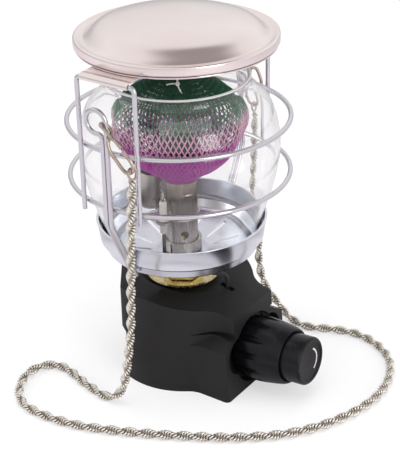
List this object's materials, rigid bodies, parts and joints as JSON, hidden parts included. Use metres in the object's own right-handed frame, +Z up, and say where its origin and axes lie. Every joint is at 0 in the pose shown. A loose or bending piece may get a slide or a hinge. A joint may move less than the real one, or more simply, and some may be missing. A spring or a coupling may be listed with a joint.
{
  "type": "gas lantern",
  "caption": "Camping gas lantern: moulded base with valve knob and push igniter, chrome pan, clear globe round a knitted mantle, wire cage, hinged steel lid and hanging chain.",
  "frame": {"origin": "on the surface that the lantern stands on, under the middle of the lantern's box with its knob, chain and hooks left out", "axes": "+Z up along the lantern, +X towards the knob, -Y towards the front bail that the picture shows"},
  "size_m": [0.1728, 0.1618, 0.1966],
  "materials": {
    "housing_plastic": "matte charcoal moulded plastic",
    "knob_plastic": "semi-gloss black moulded plastic",
    "piezo_plastic": "natural nylon",
    "brass": "turned brass",
    "bright_brass": "bright brass",
    "steel": "satin steel",
    "gauze": "heat-stained steel",
    "chrome": "chrome plated",
    "lid_steel": "polished steel with a warm tint",
    "chain_steel": "bronze-tinted plated steel",
    "rubber": "matte black rubber",
    "ceramic": "white glazed ceramic",
    "clear_glass": "clear heat-proof glass",
    "mantle_fabric": "knitted green cloth with a pink band",
    "cotton": "white cotton string"
  },
  "bodies": {
    "body": {"base_housing": "housing_plastic", "valve_body": "brass", "cartridge_collar": "brass", "cartridge_seal": "rubber", "valve_pin": "brass", "gland_nut": "brass", "contact_pin": "brass", "dished_washer": "bright_brass", "neck_nut": "brass", "jet_holder": "brass", "gas_jet": "bright_brass", "pan_washer": "steel", "base_pan": "chrome", "burner_sleeve": "steel", "burner_tube": "steel", "burner_gauze": "gauze", "mantle_rod": "gauze", "electrode_bracket": "steel", "spark_shield": "steel", "electrode_insulator": "ceramic", "electrode_tip": "steel", "ignition_lead": "rubber", "glass_globe": "clear_glass", "mantle": "mantle_fabric", "lower_mantle_tie": "cotton", "upper_mantle_tie": "cotton", "lower_ring": "chrome", "upper_ring": "chrome", "front_bail": "chrome", "rear_bail": "chrome", "front_eye_wire": "chrome", "rear_eye_wire": "chrome", "front_hook": "chain_steel", "rear_hook": "chain_steel", "front_end_ring": "chain_steel", "rear_end_ring": "chain_steel", "chain": "chain_steel"},
    "knob": {"control_knob": "knob_plastic", "valve_spindle": "steel", "spindle_oring": "rubber", "contact_ring": "brass", "piezo_igniter": "piezo_plastic"},
    "button": {"push_button": "knob_plastic", "piezo_plunger": "piezo_plastic"},
    "lid": {"lid_cap": "lid_steel", "lid_plate": "lid_steel"}
  },
  "joints": [
    {"name": "knob_turn", "type": "hinge", "parent": "body", "child": "knob", "pos_m": [0.03459, 0, 0.0206], "axis": [0.9976, 0, 0.0698], "range_deg": [0, 270]},
    {"name": "button_push", "type": "slide", "parent": "knob", "child": "button", "axis": [-0.9976, 0, -0.0698], "range_m": [0, 0.004], "stiffness_N_per_m": 2000, "springref_m": -0.002},
    {"name": "lid_swing", "type": "hinge", "parent": "body", "child": "lid", "pos_m": [-0.01151, 0.05727, 0.18], "axis": [-1, 0, 0], "range_deg": [0, 110]}
  ]
}
